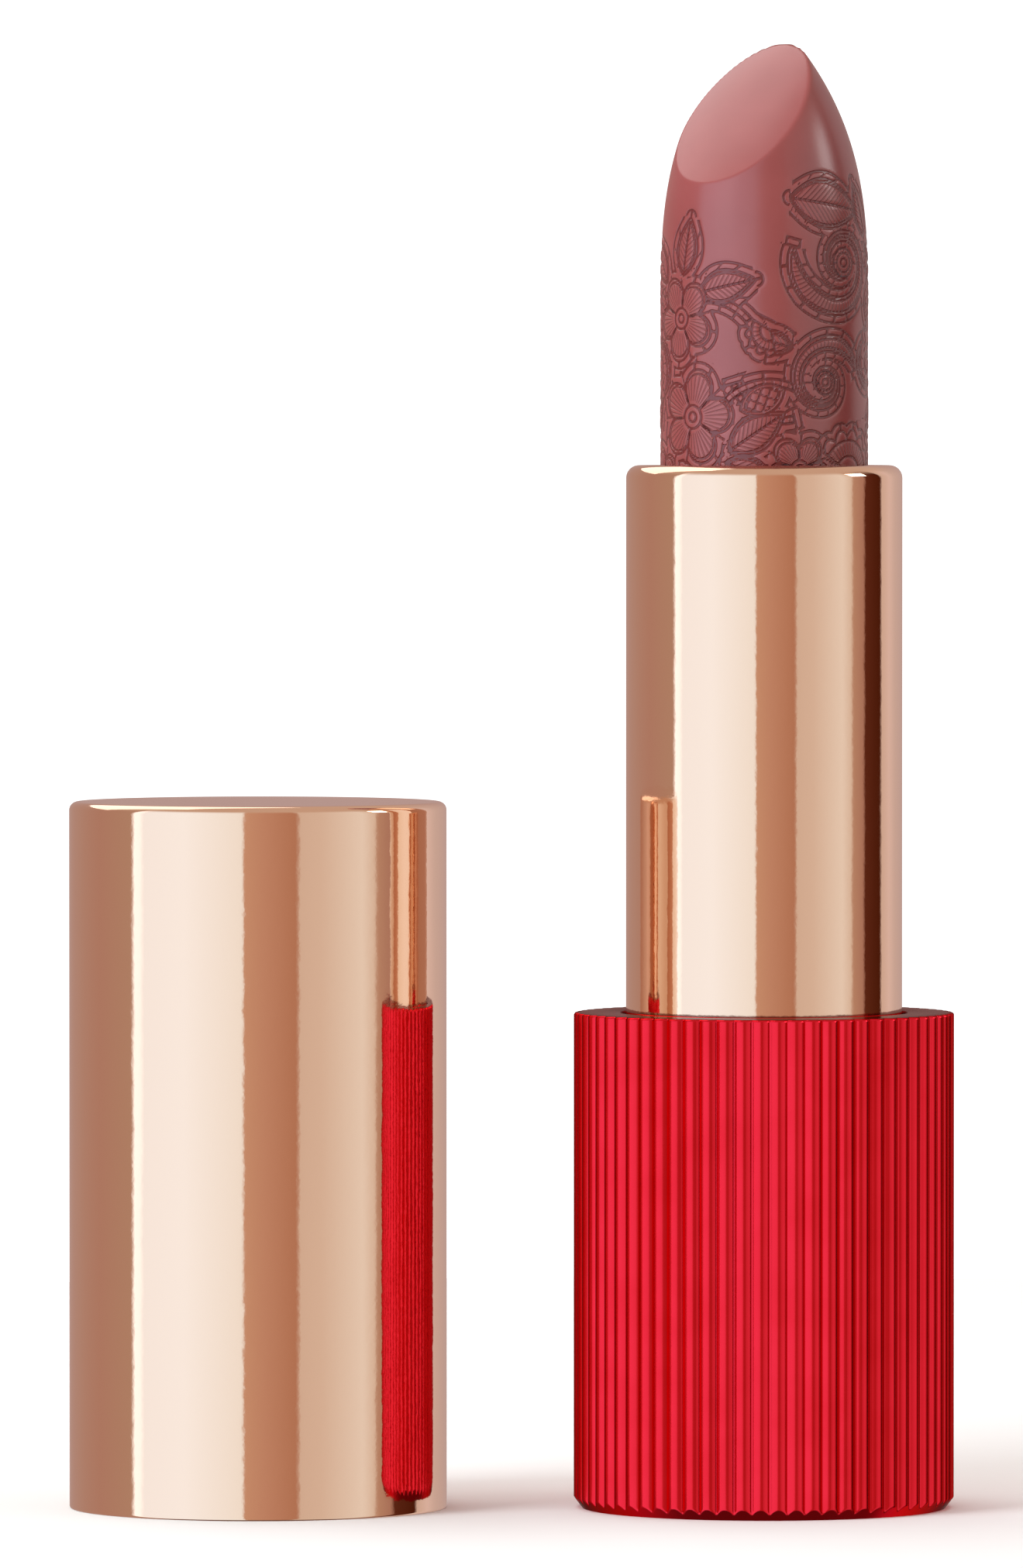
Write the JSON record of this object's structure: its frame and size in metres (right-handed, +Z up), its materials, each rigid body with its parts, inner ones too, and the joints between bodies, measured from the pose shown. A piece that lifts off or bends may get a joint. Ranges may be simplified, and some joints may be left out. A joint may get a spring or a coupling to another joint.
{
  "type": "lipstick",
  "caption": "Twist-up lipstick in a weighted case: fluted metal base, polished tube, slant-cut embossed stick, and a smooth metal cap standing beside it.",
  "frame": {"origin": "centre of the base's underside, on the axis of the case", "axes": "+Z up along the case's axis to the stick's tip; +X to the right, away from the cap; -Y is the front, which the slanting cut half faces"},
  "size_m": [0.0516, 0.0222, 0.0854],
  "materials": {
    "red_anodised": "satin red anodised",
    "rose_gold": "mirror polished, rose-gold anodised",
    "black_abs": "moulded",
    "white_acetal": "moulded",
    "weight_steel": "turned",
    "magnet_nickel": "nickel plated",
    "silicone_rubber": "moulded",
    "pearl_label": "blank film label",
    "lipstick_wax": "moulded wax, embossed with a lace of flowers and leaves"
  },
  "bodies": {
    "base": {"base_shell": "red_anodised", "base_core": "black_abs", "base_weight": "weight_steel", "base_disc": "red_anodised", "shade_label": "pearl_label", "base_magnet": "magnet_nickel", "inner_body": "white_acetal", "brake_ring": "silicone_rubber"},
    "sleeve": {"tube_shell": "rose_gold", "spiral_sleeve": "white_acetal"},
    "carrier": {"bullet_cup": "white_acetal", "bullet": "lipstick_wax"},
    "cap": {"cap_shell": "rose_gold", "cap_liner": "black_abs", "cap_magnet": "magnet_nickel", "cap_weight": "weight_steel"}
  },
  "joints": [
    {"name": "tube_twist", "type": "hinge", "parent": "base", "child": "sleeve", "pos_m": [0, 0, 0.03], "axis": [0, 0, 1], "range_deg": [0, 540]},
    {"name": "stick_rise", "type": "slide", "parent": "base", "child": "carrier", "axis": [0, 0, 1], "range_m": [-0.0275, 0]},
    {"name": "cap_lift", "type": "slide", "parent": "base", "child": "cap", "axis": [0, 0, 1], "range_m": [0, 0.062]}
  ],
  "couplings": [
    {"joint": "stick_rise", "follows": "tube_twist", "m_per_rad": -0.0029178}
  ]
}
